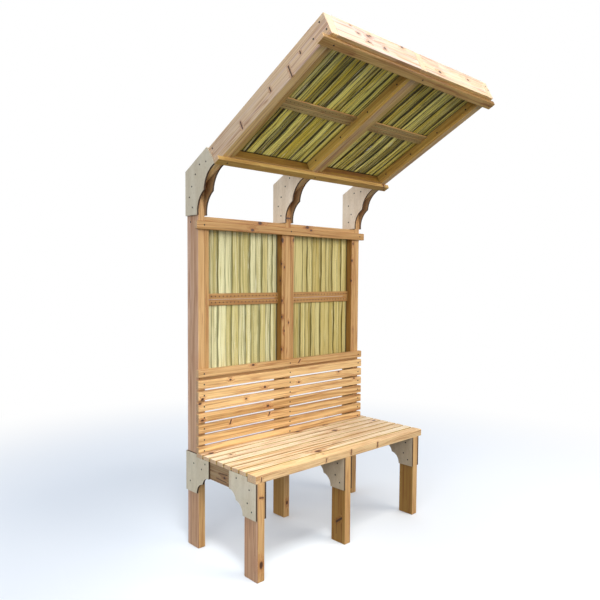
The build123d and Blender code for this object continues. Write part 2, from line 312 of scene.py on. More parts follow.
def pine(name, along, across, rows, pale, warm, seed, knots=0.05, marks=(), edge=None, face=None, front=None,
         left=None, outer=None, within=None, ends=SAWN):
    """Pine that grows along one axis and is widest across another. Rows give, for along, across and
    through, where the first board begins and how far apart boards are. Pale and warm are sapwood and
    heartwood, and knots the share of places that have one. Marks are knots placed in metres
    with their radius, and a way and a length where a branch was cut along it. Edge, face and front paint
    light and shade on the long edges, the wide faces and those that look to the front, left paints shade
    on the wide faces in the left half of a bay, and outer paints cool window light and shade on the
    shelter's left side, whose far side then gets a mild painted shade. Within is an axis and a place on
    it past which the first four stop, and ends are the end grain's two colours."""
    material, shader, wire = new_finish(name)
    spot, normal = wire.spot(), wire.normal()
    axes = np.array([along, across, np.cross(along, across)])
    whole = [spot.dot(axis) for axis in axes]
    number, local = seed * SEED_WEIGHT, []
    for place, (start, pitch), weight in zip(whole, rows, BOARD_WEIGHTS):
        steps = (place - start) / pitch
        number = steps.floor() * weight + number
        local.append((steps.part() - 0.5) * pitch)
    a, b, c = local
    side, depth, tone = wire.chance(number)
    run = a + tone * 9.0 + side * 5.0

    in_cells = wire.place(run / KNOT_CELL, b / KNOT_CELL + depth * 40.0, 0.0)
    cells = wire.make("ShaderNodeTexVoronoi", {"voronoi_dimensions": "2D"},
                      {"Vector": in_cells, "Scale": 1.0})
    luck = Wire(wire.tree, cells.socket.node.outputs["Color"])
    kept, size = (wire.make("ShaderNodeSeparateColor", None, {0: luck}, i) for i in range(2))
    ratio = cells * KNOT_CELL / (size * KNOT_SPREAD + KNOT_LEAST) + kept.rise(knots - 0.02, knots) * 90.0
    here = wire.place(whole[0] * KNOT_STRETCH, whole[1], whole[2])
    for mark in marks:
        start, *ways = (axes @ np.array(mark[i:i + 3]) * (KNOT_STRETCH, 1, 1)
                        for i in (0, 4) if i < len(mark))
        ratio = ratio.least(wire.far_from(here, start, ways[0] if ways else None) / mark[3])
    ratio = ratio * (wire.noise(run * 160.0, b * 160.0, c * 160.0) * 0.7 + 0.65)
    knot = ratio.rise(1.15, 0.75)
    swirl = ratio.rise(4.0, 0.8)

    sway = wire.noise(run * 1.7, b * 5.0, c * 5.0 + depth * 30.0)
    sway_two = wire.noise(run * 1.3 + 40.0, b * 5.0, c * 5.0)
    pith_across = b - (side - 0.5) * 0.05 + (sway - 0.5) * 0.040
    pith_through = c - 0.012 - depth * 0.030 + (sway_two - 0.5) * 0.030
    out = (pith_across * pith_across + pith_through * pith_through) ** 0.5 + swirl * 0.010
    ring = (out / RING).part() ** 2.5
    red = (out + (sway - 0.5) * 0.010).rise(*HEARTWOOD)

    bend = (sway - 0.5) * 0.03 + swirl * 0.006
    broad = wire.noise(run * 1.5, (b + bend) * 75.0 + side * 30.0, (c + bend) * 75.0, 3.0, 0.55)
    stripe = wire.noise(run * 2.6, (b + bend) * 230.0, (c + bend) * 230.0 + side * 30.0, 4.0, 0.6)
    fibre = wire.noise(run * 40.0, b * 1500.0, c * 1500.0, 2.0)
    patch = wire.noise(run * 6.0, b * 16.0, c * 16.0, 3.0)
    thin = wire.noise(run * 1.2, (b + bend) * 60.0, (c + bend) * 60.0 + depth * 30.0, 1.0)
    lines = abs(thin - 0.5).rise(0.035, 0.006)

    share = red * 0.45 + (broad - 0.5) * 2.6 + (tone - 0.5) * 0.55 + 0.32
    colour = wire.blend(share.rise(0.0, 1.0), pale, warm)
    for strength, tint in ((ring * 0.30, LATEWOOD), (patch.rise(0.48, 0.78) * 0.30, BLOTCH),
                           (stripe.rise(0.50, 0.70) * 0.60, STRIPE), (broad.rise(0.58, 0.72) * 0.55, BAND),
                           (swirl * 0.40, SWIRL), (lines * 0.50, THIN_LINE)):
        colour = wire.blend(strength, colour, wire.times(colour, tint))
    colour = wire.blend(knot, colour, wire.blend(ratio.rise(0.50, 1.00), KNOT_HEART, KNOT_RIM))

    plain, x = colour, spot.dot(X)
    on_edge, on_face = (abs(normal.dot(axis)).rise(*SQUARE_ON) for axis in (across, axes[2]))
    on_front = normal.dot(-Y).rise(*SQUARE_ON)
    in_left_half = (x / RIB_PITCH + 1.0).part().rise(0.51, 0.49)
    kept_in = spot.dot(within[0]).rise(within[1] + 0.001, within[1]) if within else 1.0
    far_left, far_right = (far.rise(OUTSIDE - 0.003, OUTSIDE - 0.001) for far in (x * -1.0, x))
    # Edge, face, front, left and outer are painted light and shade, laid over the plain wood.
    for tint, facing in ((edge, on_edge * kept_in), (face, on_face * kept_in), (front, on_front * kept_in),
                         (left, on_face * in_left_half * kept_in), (outer, far_left),
                         (outer and FAR_SIDE_SHADE, far_right)):
        if tint:
            colour = wire.blend(facing, colour, wire.times(plain, (*tint, 1.0)))
    sawn = wire.blend(ring * 0.5 + stripe.rise(0.4, 0.7) * 0.4, (*ends[0], 1.0), (*ends[1], 1.0))
    colour = wire.blend(abs(normal.dot(along)).rise(0.75, 0.95) * 0.85, colour, sawn)

    height = fibre * 0.5 + ring * 0.5 - knot * 0.6
    lay_on(shader, wire, colour, 0.50 + stripe * 0.2 - knot * 0.12, height, GRAIN_DEPTH, GRAIN_STRENGTH)
    return material


print("pine written")

# %% [markdown]
# ## Which board is which
# Every family of boards says which way its grain runs. Posts and legs stand, slats and battens run
# along the bench, and rafters follow the canopy's slope. Some knots are where the real boards have
# theirs. Many faces carry painted light and shade: shade on undersides, on fronts under an overhang,
# on the sides of posts and legs and on narrow sides between boards, cool window light on the shelter's
# left side, and a painted highlight on the fascia's front. Past the laths the wood is plain.

# %% Pine families
def spread(node, axis):
    """Where some even rows begin along an axis, a few rows before the first, and how far apart they
    are. It is read from the last two boards, because a first one may be cut narrower."""
    faces = np.unique(reach(node, axis).round(5))
    board, pitch = faces[-1] - faces[-2], faces[-1] - faces[-3]
    return faces[-1] + (pitch - board) / 2 - 20 * pitch, pitch


def centred(node, axis):
    """One board, with its own middle as the middle of its row."""
    return (reach(node, axis).min() + reach(node, axis).max()) / 2 - 0.5, 1.0


def alone(node, axis):
    """The rows of a single board."""
    return ONE_BOARD, centred(node, axis), ONE_BOARD


def each_rib(node, axis):
    """The rows of boards of which every rib has one."""
    return ONE_BOARD, centred(node, axis), BY_RIB


def each_bay(node, axis):
    """The rows of boards of which every bay has one."""
    return BY_BAY, centred(node, axis), ONE_BOARD


BY_RIB = (-1.5 * RIB_PITCH, RIB_PITCH)
BY_BAY = (-RIB_PITCH, RIB_PITCH)
BY_HALF_BAY = (-RIB_PITCH, RIB_PITCH / 2)
STILE_ROWS = ONE_BOARD, BY_HALF_BAY, ONE_BOARD
FRONT = -44.5
FASCIA_KNOTS = mm([(-418, 85, 3), (-387, 58, 4), (-326, 66, 6), (-312, 72, 5), (-338, 33, 5), (-104, 87, 6),
                   (131, 32, 7), (375, 60, 5)])
RAFTER_KNOTS = mm([(228, 2, 2.2, 49), (350, 33, 2.2, 20), (560, 15, 2.2, 36), (154, 44, 2, 12)])
LEFT_RAFTER_FACE = -0.556
KNOTS = {
    "post": mm([(2, FRONT, 77, 7), (6, FRONT, 1039, 5)]),
    "leg": mm([(-535, -480, 73, 11), (-546, -480, 362, 2, 22, 0, -4), (-19, -425, 98, 4, 0, -34, 26),
               (-19, -425, 40, 1, 0, 0, 56)]),
    "seat": mm([(217, -185, 457, 13), (-120, -398, 457, 14), (49, -73, 457, 9), (-513, -85, 457, 10),
                (548, -181, 457, 9), (256, -67, 457, 7)]),
    "nosing": mm([(20, -480, 430, 2, 3, 0, 24), (-151, -480, 430, 2, 4, 0, 16), (217, -480, 430, 2, 2, 0, 24),
                  (-536, -480, 430, 2, 2, 0, 16)]),
    "backrest": mm([(-387, -66, 784, 5), (-172, -66, 723, 6), (-292, -66, 679, 5), (-152, -66, 624, 7),
                    (-390, -66, 570, 3, 10, 0, 24), (-146, -66, 574, 3, 10, 0, 22), (62, -66, 720, 5),
                    (370, -66, 744, 5), (502, -66, 694, 6), (-562, -66, 690, 5, 16, 0, 22),
                    (-548, -66, 612, 6)]),
    "rail": mm([(-248, -66, 842, 6), (60, -66, 826, 3, 12, 0, 14)]),
    "batten": mm([(-254, -64, 1505, 8), (146, -64, 1526, 6)]),
    "head rail": mm([(-189, FRONT, 1544, 9), (138, FRONT, 1543, 9)]),
    "stile": mm([(-39, FRONT, 1466, 9), (40, FRONT, 1470, 8), (-40, -40, 1346, 5), (-24, FRONT, 1328, 5),
                 (-42, -32, 1258, 5), (-40, FRONT, 1155, 5), (-41, FRONT, 1070, 5), (-25, FRONT, 997, 5),
                 (-42, -43, 901, 5), (499, FRONT, 1374, 6), (505, FRONT, 1472, 6), (497, -41, 1258, 5),
                 (517, FRONT, 974, 5)]),
    "fascia": [(*on_canopy(x, 0, out), radius) for x, out, radius in FASCIA_KNOTS],
    "rafter": [(*on_canopy(LEFT_RAFTER_FACE, along, out), radius, *(OUT * long))
               for along, out, radius, long in RAFTER_KNOTS],
    "bearer": mm([(-556, -250, 390, 6), (-556, -222, 348, 9), (-556, -210, 402, 2, 0, -60, 4),
                  (-556, -190, 376, 2, 0, -70, -3)]),
}
CREAM, SAND, TAN, ORANGE = srgb(238, 204, 152), srgb(238, 197, 136), srgb(214, 172, 115), srgb(194, 147, 87)
HONEY, GOLD, PINK, BROWN = srgb(203, 158, 99), srgb(181, 135, 75), srgb(220, 186, 160), srgb(124, 90, 58)
# The palest tone, the seat slats' sapwood.
PALEST_CREAM = srgb(247, 229, 196)
# Painted light and shade: the first is cool window light painted on the shelter's left side, the second
# painted shade on the sides of posts.
PAINTED_COOL_LIGHT, SHADED = (1.02, 1.10, 1.88), (0.80, 0.74, 0.52)
# Painted shade: the first on the narrow sides of seat slats and stiles, the second on undersides beneath the
# canopy.
EDGE_SHADE, UNDERSIDE_SHADE = (0.55, 0.46, 0.18), (0.72, 0.72, 0.56)
RAFTER_ROWS = each_rib("left_rafter", OUT)
# Rafters: painted shade on their undersides below the laths, painted cool light and shade on the left
# rafter's outer side, and their end grain.
RAFTER_TINTS = {"edge": UNDERSIDE_SHADE, "outer": (0.78, 0.79, 0.92), "within": UNDER_LATHS,
                "ends": ((0.66, 0.50, 0.34), (0.47, 0.32, 0.19))}
FAMILIES = [
    # Painted shade on the posts' sides, and painted cool light on the left post's outer side.
    ("post_pine", [rib + "_post" for rib in RIBS], Z, Y, each_rib("left_post", Y), TAN, ORANGE, 1,
     {"marks": KNOTS["post"], "face": SHADED, "outer": PAINTED_COOL_LIGHT}),
    # Painted shade on the legs' sides under the seat, and painted cool light on the left leg's outer side.
    ("leg_pine", [rib + "_leg" for rib in RIBS], Z, Y, each_rib("left_leg", Y), TAN, ORANGE, 2,
     {"marks": KNOTS["leg"], "face": (0.60, 0.54, 0.30), "outer": PAINTED_COOL_LIGHT}),
    # Painted cool light and shade on the left bearer's outer side.
    ("bearer_pine", [rib + "_bearer" for rib in RIBS], Y, Z, each_rib("left_bearer", Z), HONEY, BROWN, 3,
     {"knots": 0.2, "marks": KNOTS["bearer"], "outer": (0.60, 0.68, 0.92)}),
    # The left rafter's undersides take a milder painted shade.
    ("left_rafter_pine", ["left_rafter"], DOWN, OUT, RAFTER_ROWS, CREAM, PINK, 4,
     {**RAFTER_TINTS, "marks": KNOTS["rafter"], "edge": (0.95, 0.95, 0.72)}),
    ("rafter_pine", ["middle_rafter", "right_rafter"], DOWN, OUT, RAFTER_ROWS, CREAM, PINK, 4, RAFTER_TINTS),
    # Painted shade on the slats' narrow sides, down between them.
    ("seat_pine", ["seat_slats"], X, Y, (ONE_BOARD, spread("seat_slats", Y), ONE_BOARD), PALEST_CREAM, TAN, 5,
     {"marks": KNOTS["seat"], "edge": EDGE_SHADE}),
    # A little painted shade on the nosing's front, below its lit top.
    ("nosing_pine", ["seat_nosing"], X, Y, alone("seat_nosing", Y), CREAM, TAN, 6,
     {"marks": KNOTS["nosing"], "front": (0.88, 0.86, 0.84)}),
    ("backrest_pine", ["back_slats"], X, Z, (ONE_BOARD, spread("back_slats", Z), ONE_BOARD), SAND, ORANGE, 7,
     {"marks": KNOTS["backrest"], "ends": ((0.46, 0.29, 0.17), (0.26, 0.14, 0.07))}),
    ("backrest_rail_pine", ["backrest_rail"], X, Z, alone("backrest_rail", Z), TAN, ORANGE, 8,
     {"marks": KNOTS["rail"]}),
    ("back_batten_pine", ["back_batten"], X, Z, alone("back_batten", Z), HONEY, GOLD, 9,
     {"marks": KNOTS["batten"]}),
    ("back_rail_pine", ["back_head_rails", "back_sill_rails"], X, Z, each_bay("back_head_rails", Z),
     TAN, ORANGE, 10, {"knots": 0.15, "marks": KNOTS["head rail"]}),
    # A painted shadow of the fascia on the front batten's front, and painted shade on its wide faces.
    ("front_batten_pine", ["canopy_front_batten"], X, DOWN, alone("canopy_front_batten", DOWN),
     TAN, ORANGE, 11, {"face": (0.76, 0.79, 0.62), "front": (0.34, 0.27, 0.06)}),
    # Painted shade on the rear batten's wide faces and its front.
    ("rear_batten_pine", ["canopy_rear_batten"], X, DOWN, alone("canopy_rear_batten", DOWN),
     CREAM, TAN, 18, {"face": (0.55, 0.48, 0.22), "front": (0.72, 0.66, 0.38)}),
    # A painted highlight on the fascia's front and painted shade on its underside.
    ("fascia_pine", ["canopy_fascias"], X, OUT, each_bay("canopy_fascias", OUT), CREAM, PINK, 12,
     {"marks": KNOTS["fascia"], "edge": UNDERSIDE_SHADE, "front": (0.81, 0.90, 1.18), "within": UNDER_TOP}),
    # Painted shade on the rear rails' fronts and undersides, below the laths.
    ("canopy_rail_pine", ["canopy_rear_rails"], X, OUT, each_bay("canopy_rear_rails", OUT), TAN, ORANGE, 17,
     {"edge": UNDERSIDE_SHADE, "front": (0.42, 0.37, 0.09), "within": UNDER_LATHS}),
    # Painted shade on the stiles' sides, in front of the laths.
    ("back_stile_pine", ["back_stiles"], Z, X, STILE_ROWS, HONEY, GOLD, 13,
     {"marks": KNOTS["stile"], "edge": EDGE_SHADE, "within": BEFORE_LATHS}),
    # A painted warm bounce light on the stiles' undersides, painted shade on their sides and, instead, on the
    # undersides in the left half of a bay, all below the laths.
    ("canopy_stile_pine", ["canopy_stiles"], DOWN, X, STILE_ROWS, TAN, ORANGE, 14,
     {"knots": 0.15, "face": (1.0, 1.02, 0.42), "edge": (0.80, 0.83, 0.42), "left": (0.77, 0.86, 0.70),
      "within": UNDER_LATHS}),
    ("back_strip_pine", ["back_lath_strips"], X, Z, (BY_BAY, spread("back_lath_strips", Z), ONE_BOARD),
     HONEY, GOLD, 15, {}),
    # Painted shade on the canopy strips' wide faces.
    ("canopy_strip_pine", ["canopy_lath_strips"], X, DOWN,
     (BY_BAY, spread("canopy_lath_strips", DOWN), ONE_BOARD), TAN, ORANGE, 16, {"face": (0.64, 0.77, 0.69)}),
]


def dress(node, material):
    """Gives a solid one finish."""
    nodes[node].data.materials.clear()
    nodes[node].data.materials.append(material)


for name, family, *choices, extras in FAMILIES:
    finish = pine(name, *choices, **extras)
    for node in family:
        dress(node, finish)
print(len(FAMILIES), "pine finishes")

# %% [markdown]
# ## Plywood
# The plates are thin plywood cut with a hot beam, so their faces are pale and their cut edges are
# burnt nearly black. The way a surface faces tells the two apart: plates lie across the bench, so a
# face looks along it and an edge does not. That keeps the burnt edge exact on the scallops.

# %% Plywood finish
PLATE_STEP, PLY_STEP = 0.047, 0.0018
BIRCH, FIGURED = srgb(222, 204, 176), srgb(206, 186, 156)
FLECKED, CLOUDED = srgb(176, 150, 116), srgb(212, 196, 172)
# A warm painted shade for plate faces that look back at their own rib.
INNER_FACE_SHADE, INNER_FACE_SHADE_DEEP = srgb(168, 116, 44), srgb(112, 72, 24)
BURNT, BURNT_PLY = srgb(34, 20, 10), srgb(86, 58, 30)
# Painted shade on the left rib's plates and on the others' seat plates, and painted light on their canopy
# plates.
LEFT_RIB_SHADE, BENCH_PLATE_SHADE, CANOPY_PLATE_LIGHT = (0.90, 0.92, 0.92, 1), (0.70, 0.64, 0.58, 1), (1.35, 1.33, 1.37, 1)
FLECK_DEPTH, FLECK_STRENGTH = 0.0003, 0.3


def plywood(name):
    """Pale birch faces with a faint long figure, and burnt edges with the plies just showing. Painted shade
    makes faces on the left rib a little dull and those on the others dull by the bench, painted light makes
    those under the canopy pale, and a face that looks back at its own rib is in a warm painted shade."""
    material, shader, wire = new_finish(name)
    spot, normal = wire.spot(), wire.normal()
    x, y, z = (spot.dot(axis) for axis in (X, Y, Z))
    facing = abs(normal.dot(X)).most(normal.dot(-DOWN).rise(0.93, 0.97))
    off_rib = (x / RIB_PITCH + 1.5).part() - 0.5
    inward_shade = (normal.dot(X) * off_rib * -40.0).rise(0.2, 0.8)
    plate = (x / PLATE_STEP).floor() * 3.7
    figure = wire.noise(y * 30.0 + plate, z * 4.0, plate, 4.0, 0.6)
    fleck = wire.noise(y * 700.0, z * 60.0, plate, 2.0)
    cloud = wire.noise(y * 9.0, z * 9.0, plate, 3.0)
    face = wire.blend(figure.rise(0.3, 0.7), BIRCH, FIGURED)
    face = wire.blend(fleck.rise(0.50, 0.70) * 0.45, face, FLECKED)
    face = wire.blend(cloud.rise(0.5, 0.8) * 0.5, face, CLOUDED)
    # Painted light and shade by height and by rib.
    light_by_height = wire.blend(z.rise(0.9, 1.1), BENCH_PLATE_SHADE, CANOPY_PLATE_LIGHT)
    past_left_rib = x.rise(-0.45, -0.40)
    face = wire.blend(past_left_rib, wire.times(face, LEFT_RIB_SHADE), wire.times(face, light_by_height))
    # Painted shade on faces that look back at their own rib.
    face = wire.blend(inward_shade * 0.85, face, wire.blend(figure, INNER_FACE_SHADE, INNER_FACE_SHADE_DEEP))
    plies = (x / PLY_STEP).part().rise(0.3, 0.6)
    edge = wire.blend(plies * 0.4 + cloud * 0.6, BURNT, BURNT_PLY)
    colour = wire.blend(facing.rise(0.55, 0.85), edge, face)
    lay_on(shader, wire, colour, 0.60 + fleck * 0.15, fleck + plies * 0.6, FLECK_DEPTH, FLECK_STRENGTH)
    return material


plate_finish = plywood("burnt_edge_plywood")
PLATE_KINDS = "_canopy_plates", "_rear_seat_plates", "_front_seat_plates"
PLATES = [rib + kind for rib in RIBS for kind in PLATE_KINDS]
for node in PLATES:
    dress(node, plate_finish)
print(len(PLATES), "sets of plates")

# %% [markdown]
# ## Eased edges
# Planed timber never has a knife edge: its corners are rounded by a few millimetres, and that thin
# round catches the light all along a board. A bevel on the live solid gives it. The solids come in as
# separate triangles, so they are welded first, and the normals are weighted so flat faces stay flat.

# %% Edges
TIMBER_ROUND, THIN_ROUND, PLATE_ROUND = 0.0028, 0.0014, 0.0006
WELD_WITHIN, ROUND_STEPS, SHARP_DEGREES = 1e-5, 3, 35


def ease(node, width):
    """Rounds the sharp edges of a solid by a width in metres."""
    weld = nodes[node].modifiers.new("weld", "WELD")
    weld.merge_threshold = WELD_WITHIN
    bevel = nodes[node].modifiers.new("eased", "BEVEL")
    bevel.width = width
    bevel.segments = ROUND_STEPS
    bevel.limit_method = "ANGLE"
    bevel.angle_limit = math.radians(SHARP_DEGREES)
    normals = nodes[node].modifiers.new("normals", "WEIGHTED_NORMAL")
    normals.keep_sharp = False


LATH_NODES = [node for node in nodes if node.endswith("_laths")]
for node in nodes:
    if node in PLATES:
        ease(node, PLATE_ROUND)
    elif node.endswith(("strips", "seat_slats")):
        ease(node, THIN_ROUND)
    elif node not in LATH_NODES:
        ease(node, TIMBER_ROUND)
print("edges eased on", len(nodes) - len(LATH_NODES), "solids")

# %% [markdown]
# ## Riven laths
# The screens are filled with laths split from green wood, not sawn. Their edges waver, their faces
# are ridged along the grain, and every other one lies behind its neighbours. Each lath is a closed
# ring of points carried along its length. The solids already say where each lath's edges run, so the
# outline is read from them, and the ring rounds its edges and ridges its faces.

# %% Lath shapes
RUN_POINTS, FACE_POINTS = 41, 9
WAVES, EDGE_WANDER = 11, 0.0013
BACK_LAYER, WIDER_BEHIND, INTO_STILE, AT_STILE = 0.003, 0.0025, 0.004, 0.001
BENT = {"canopy_rear_right_laths": 0.015, "canopy_front_left_laths": 0.004, "canopy_rear_left_laths": 0.005}
dice = np.random.default_rng(4)


def panel_axes(node):
    """Across, along and into a panel, with the panel's own origin left at zero."""
    return np.array([X, DOWN, OUT] if node.startswith("canopy") else [X, -Z, Y])


def solids_of(node):
    """The points of each separate solid of a node. Points that share a triangle get the same label,
    the least one, until nothing changes."""
    mesh = nodes[node].data
    points, place = np.unique(points_of(node).round(6), axis=0, return_inverse=True)
    corners = np.empty(len(mesh.loops), int)
    mesh.loops.foreach_get("vertex_index", corners)
    triangles = place.ravel()[corners].reshape(-1, 3)
    label = np.arange(len(points))
    while True:
        least = label[triangles].min(axis=1)
        spread_label = label.copy()
        np.minimum.at(spread_label, triangles, least[:, None])
        if (spread_label == label).all():
            return [points[label == one] for one in np.unique(label)]
        label = spread_label


def wander(at, size):
    """A slow wander along a length: a sum of sines that are all zero at both ends, the short ones small."""
    turn = np.pi * (at - at[0]) / (at[-1] - at[0])
    waves = np.arange(1, WAVES + 1)
    return size * (dice.uniform(-1, 1, WAVES) / waves ** 0.7) @ np.sin(np.outer(waves, turn))


def lath_ring(points, more_left, more_right, back, bent):
    """A lath as rings of points, with more on either side than its solid has. Round a ring the angle goes
    once round a flat oval: across is the cosine, squared off by a power so that edges are round and faces
    flat, and depth the sine. Ridges that run along the grain are added to the depth. The sawn ends are
    square, and a lath that lies back comes level with its neighbours there. Between its ends a lath is
    bent sideways by a half sine."""
    points = points[np.argsort(points[:, 1])]
    across, along, into = points.T
    at = np.linspace(along[0], along[-1], RUN_POINTS)
    on_left = across < (across.min() + across.max()) / 2
    left = wander(at, EDGE_WANDER) + np.interp(at, along[on_left], across[on_left]) - more_left
    wide = wander(at, EDGE_WANDER) + np.interp(at, along[~on_left], across[~on_left]) - left + more_right
    turn = np.linspace(0, 2 * np.pi, 4 * FACE_POINTS, endpoint=False)
    share = 0.5 - 0.5 * np.sign(np.cos(turn)) * np.abs(np.cos(turn)) ** 0.55
    free = np.sin(np.linspace(0, np.pi, RUN_POINTS))[:, None] ** 0.5
    lift = np.sign(np.sin(turn)) * np.abs(np.sin(turn)) ** (0.06 + 0.29 * free)
    middle, half = (into.min() + into.max()) / 2, (into.max() - into.min()) / 2
    ridge = sum(dice.uniform(0.2, 1) * np.sin(share * k * 6.3 + dice.uniform(0, 6)) for k in (1, 2, 4)) / 3
    bow = free * dice.uniform(-0.2, 0.5)
    deep = middle + half * 0.92 * lift * (0.84 + 0.16 * ridge * free) + half * 0.12 * bow - back * (1 - free)
    left = left + bent * free[:, 0] ** 2
    place = np.stack([left[:, None] + wide[:, None] * share[None, :],
                      np.repeat(at[:, None], len(turn), 1), deep], axis=-1)
    return place, share


def ring_faces(rows, columns):
    """Quads between one ring and the next, and the two end rings."""
    r, c = np.meshgrid(np.arange(rows - 1), np.arange(columns), indexing="ij")
    ahead_of = (c + 1) % columns
    here, beyond = r * columns, (r + 1) * columns
    quads = np.stack([here + c, here + ahead_of, beyond + ahead_of, beyond + c], -1)
    ends = [list(range(columns))[::-1], list(range((rows - 1) * columns, rows * columns))]
    return quads.reshape(-1, 4), ends


def lath_panel(node):
    """All the laths of one panel as one piece. For the finish every point keeps its lath's tone, its
    share of the way across, how far it is from an end, and whether its lath lies back."""
    axes = panel_axes(node)
    points, faces, first = [], [], 0
    tones, shares, ends_off, backs = [], [], [], []
    face_depth, sides = reach(node, axes[2]).min(), reach(node, X)
    for solid in solids_of(node):
        back = (solid @ axes[2]).min() - face_depth
        lies_back = float(back > BACK_LAYER)
        ends_panel = [(solid @ X).min() < sides.min() + AT_STILE, (solid @ X).max() > sides.max() - AT_STILE]
        more = [WIDER_BEHIND * lies_back + INTO_STILE * end for end in ends_panel]
        across = ((solid @ X).mean() - sides.min()) / (sides.max() - sides.min())
        ring, share = lath_ring(solid @ axes.T, *more, back, BENT.get(node, 0.0) * math.sin(math.pi * across))
        rows, columns = ring.shape[:2]
        quads, ends = ring_faces(rows, columns)
        points.append(ring.reshape(-1, 3) @ axes)
        faces += (quads + first).tolist() + [[corner + first for corner in end] for end in ends]
        tones.append(np.full(rows * columns, dice.random()))
        shares.append(np.tile(share, rows))
        ends_off.append(np.minimum(ring[..., 1] - ring[0, 0, 1], ring[-1, 0, 1] - ring[..., 1]).ravel())
        backs.append(np.full(rows * columns, lies_back))
        first += rows * columns
    mesh = bpy.data.meshes.new(node + "_riven")
    mesh.from_pydata(np.concatenate(points), [], faces)
    for name, values in (("tone", tones), ("share", shares), ("end", ends_off), ("back", backs)):
        kept = mesh.attributes.new(name, "FLOAT", "POINT")
        kept.data.foreach_set("value", np.concatenate(values).astype(np.float32))
    mesh.shade_smooth()
    piece = put(node + "_riven", mesh)
    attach(piece, "root")
    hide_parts(node)
    return piece


lath_panels = {node: lath_panel(node) for node in LATH_NODES}
print(len(lath_panels), "panels,", sum(len(p.data.polygons) for p in lath_panels.values()), "faces")

# %% [markdown]
# ## The laths' finish
# Split green wood dries to cream with a green cast, and each lath keeps its own tone. Dark lines
# follow the split. The edges are darkest, partly bark and partly painted shade of the laps. Laths that
# lie back, their laps, the bay's ends by the stiles and the laths' own ends carry painted shade, glints
# are painted light, and the canopy's undersides take a painted warm bounce light.

# %% Lath finish
SEAM = (reach("canopy_lath_strips", DOWN).min() + reach("canopy_lath_strips", DOWN).max()) / 2
STILE_SHADE, FRONT_PANEL_SHADE = srgb(40, 30, 14), (0.88, 0.86, 0.80, 1.0)
RIDGE_DEPTH, RIDGE_STRENGTH = 0.0015, 0.5


